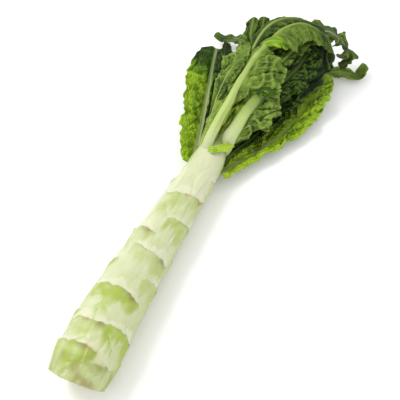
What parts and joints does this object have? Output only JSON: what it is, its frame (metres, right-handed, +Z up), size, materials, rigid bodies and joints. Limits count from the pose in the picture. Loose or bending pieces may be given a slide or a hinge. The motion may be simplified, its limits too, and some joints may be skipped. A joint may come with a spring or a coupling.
{
  "type": "celtuce",
  "caption": "Whole celtuce lying down: a thick pale peeled stem with leaf scars, cut at its base, and a head of crumpled green leaves.",
  "frame": {"origin": "under the middle of the whole celtuce, on the surface that it lies on", "axes": "+Z up from the surface, +Y along the stem from its cut base to the leaf tips, +X to the right when looking along +Y"},
  "size_m": [0.1794, 0.5128, 0.0997],
  "materials": {
    "stem_skin": "moist, smooth, pale green peeled stem with cream bands and light brown scar lines",
    "leaf_bright": "waxy, blistered, bright yellow-green upper side",
    "leaf_dark": "waxy, crumpled, dark green upper side",
    "leaf_underside": "dull grey-green underside with pale raised veins and a pale petiole"
  },
  "bodies": {
    "root": {"stem": "stem_skin", "under_leaf_left": "leaf_dark", "under_leaf_right": "leaf_dark", "left_outer_leaf": "leaf_bright", "right_outer_leaf": "leaf_bright", "right_finger_leaf": "leaf_dark", "back_left_leaf": "leaf_dark", "right_inner_leaf": "leaf_dark", "vertical_dark_leaf": "leaf_dark", "left_finger_leaf": "leaf_dark", "upright_leaf_1": "leaf_underside", "upright_leaf_2": "leaf_underside", "inner_folds_leaf": "leaf_dark", "right_mid_leaf": "leaf_underside", "inner_dark_leaf": "leaf_dark", "far_droop_leaf": "leaf_dark", "arch_leaf_1": "leaf_underside", "arch_leaf_2": "leaf_underside", "main_leaf": "leaf_underside", "overlap_leaf": "leaf_underside", "bright_fold_leaf": "leaf_bright", "crown_leaflet": "leaf_bright"}
  },
  "joints": []
}
